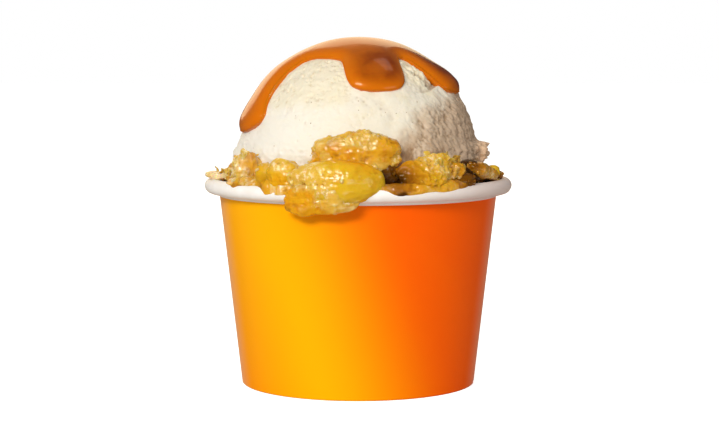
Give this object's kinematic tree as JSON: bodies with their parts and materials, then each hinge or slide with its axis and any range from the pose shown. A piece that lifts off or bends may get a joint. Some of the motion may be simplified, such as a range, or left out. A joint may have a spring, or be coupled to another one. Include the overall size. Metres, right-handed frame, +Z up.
{
  "type": "caramel apple cobbler with ice cream in a paper tub",
  "caption": "Round paper tub with a rolled rim, filled with cooked apple and crust in syrup, with a scoop of vanilla ice cream on top under dripping caramel sauce.",
  "frame": {"origin": "middle of the tub's foot, on the surface that it stands on", "axes": "+Z up, -Y towards the front, where the long apple wedge hangs over the rim, +X to the viewer's right"},
  "size_m": [0.0948, 0.1005, 0.1068],
  "materials": {
    "printed_paper": "satin",
    "plain_paper": "matte",
    "cobbler": "satin",
    "ice_cream": "matte",
    "caramel": "gloss",
    "cooked_apple": "gloss",
    "crust": "satin"
  },
  "bodies": {
    "root": {"tub_wall": "printed_paper", "tub_base": "plain_paper", "cobbler_bed": "cobbler", "ice_cream_scoop": "ice_cream", "caramel_sauce": "caramel", "front_apple_wedge": "cooked_apple", "upper_crust_chunk": "crust", "front_soaked_crust": "crust", "front_left_apple_lump": "cooked_apple", "right_glazed_apple": "cooked_apple", "right_toasted_crust": "crust", "left_folded_crust": "crust", "left_apple_cube": "cooked_apple", "right_small_apple": "cooked_apple", "right_crust_flap": "crust", "right_glazed_bead": "cooked_apple", "right_rim_crumb": "crust", "left_crumb_bank": "crust", "left_thin_flake": "crust", "front_hollow_crust": "crust", "right_hollow_crust": "crust", "back_right_crumb": "crust", "back_right_apple": "cooked_apple", "back_crust_corner": "crust", "back_apple_wedge": "cooked_apple", "back_high_crust": "crust", "back_apple_lump": "cooked_apple", "back_soaked_crust": "crust", "back_apple_cube": "cooked_apple", "back_left_crust": "crust", "back_left_apple": "cooked_apple"}
  },
  "joints": []
}
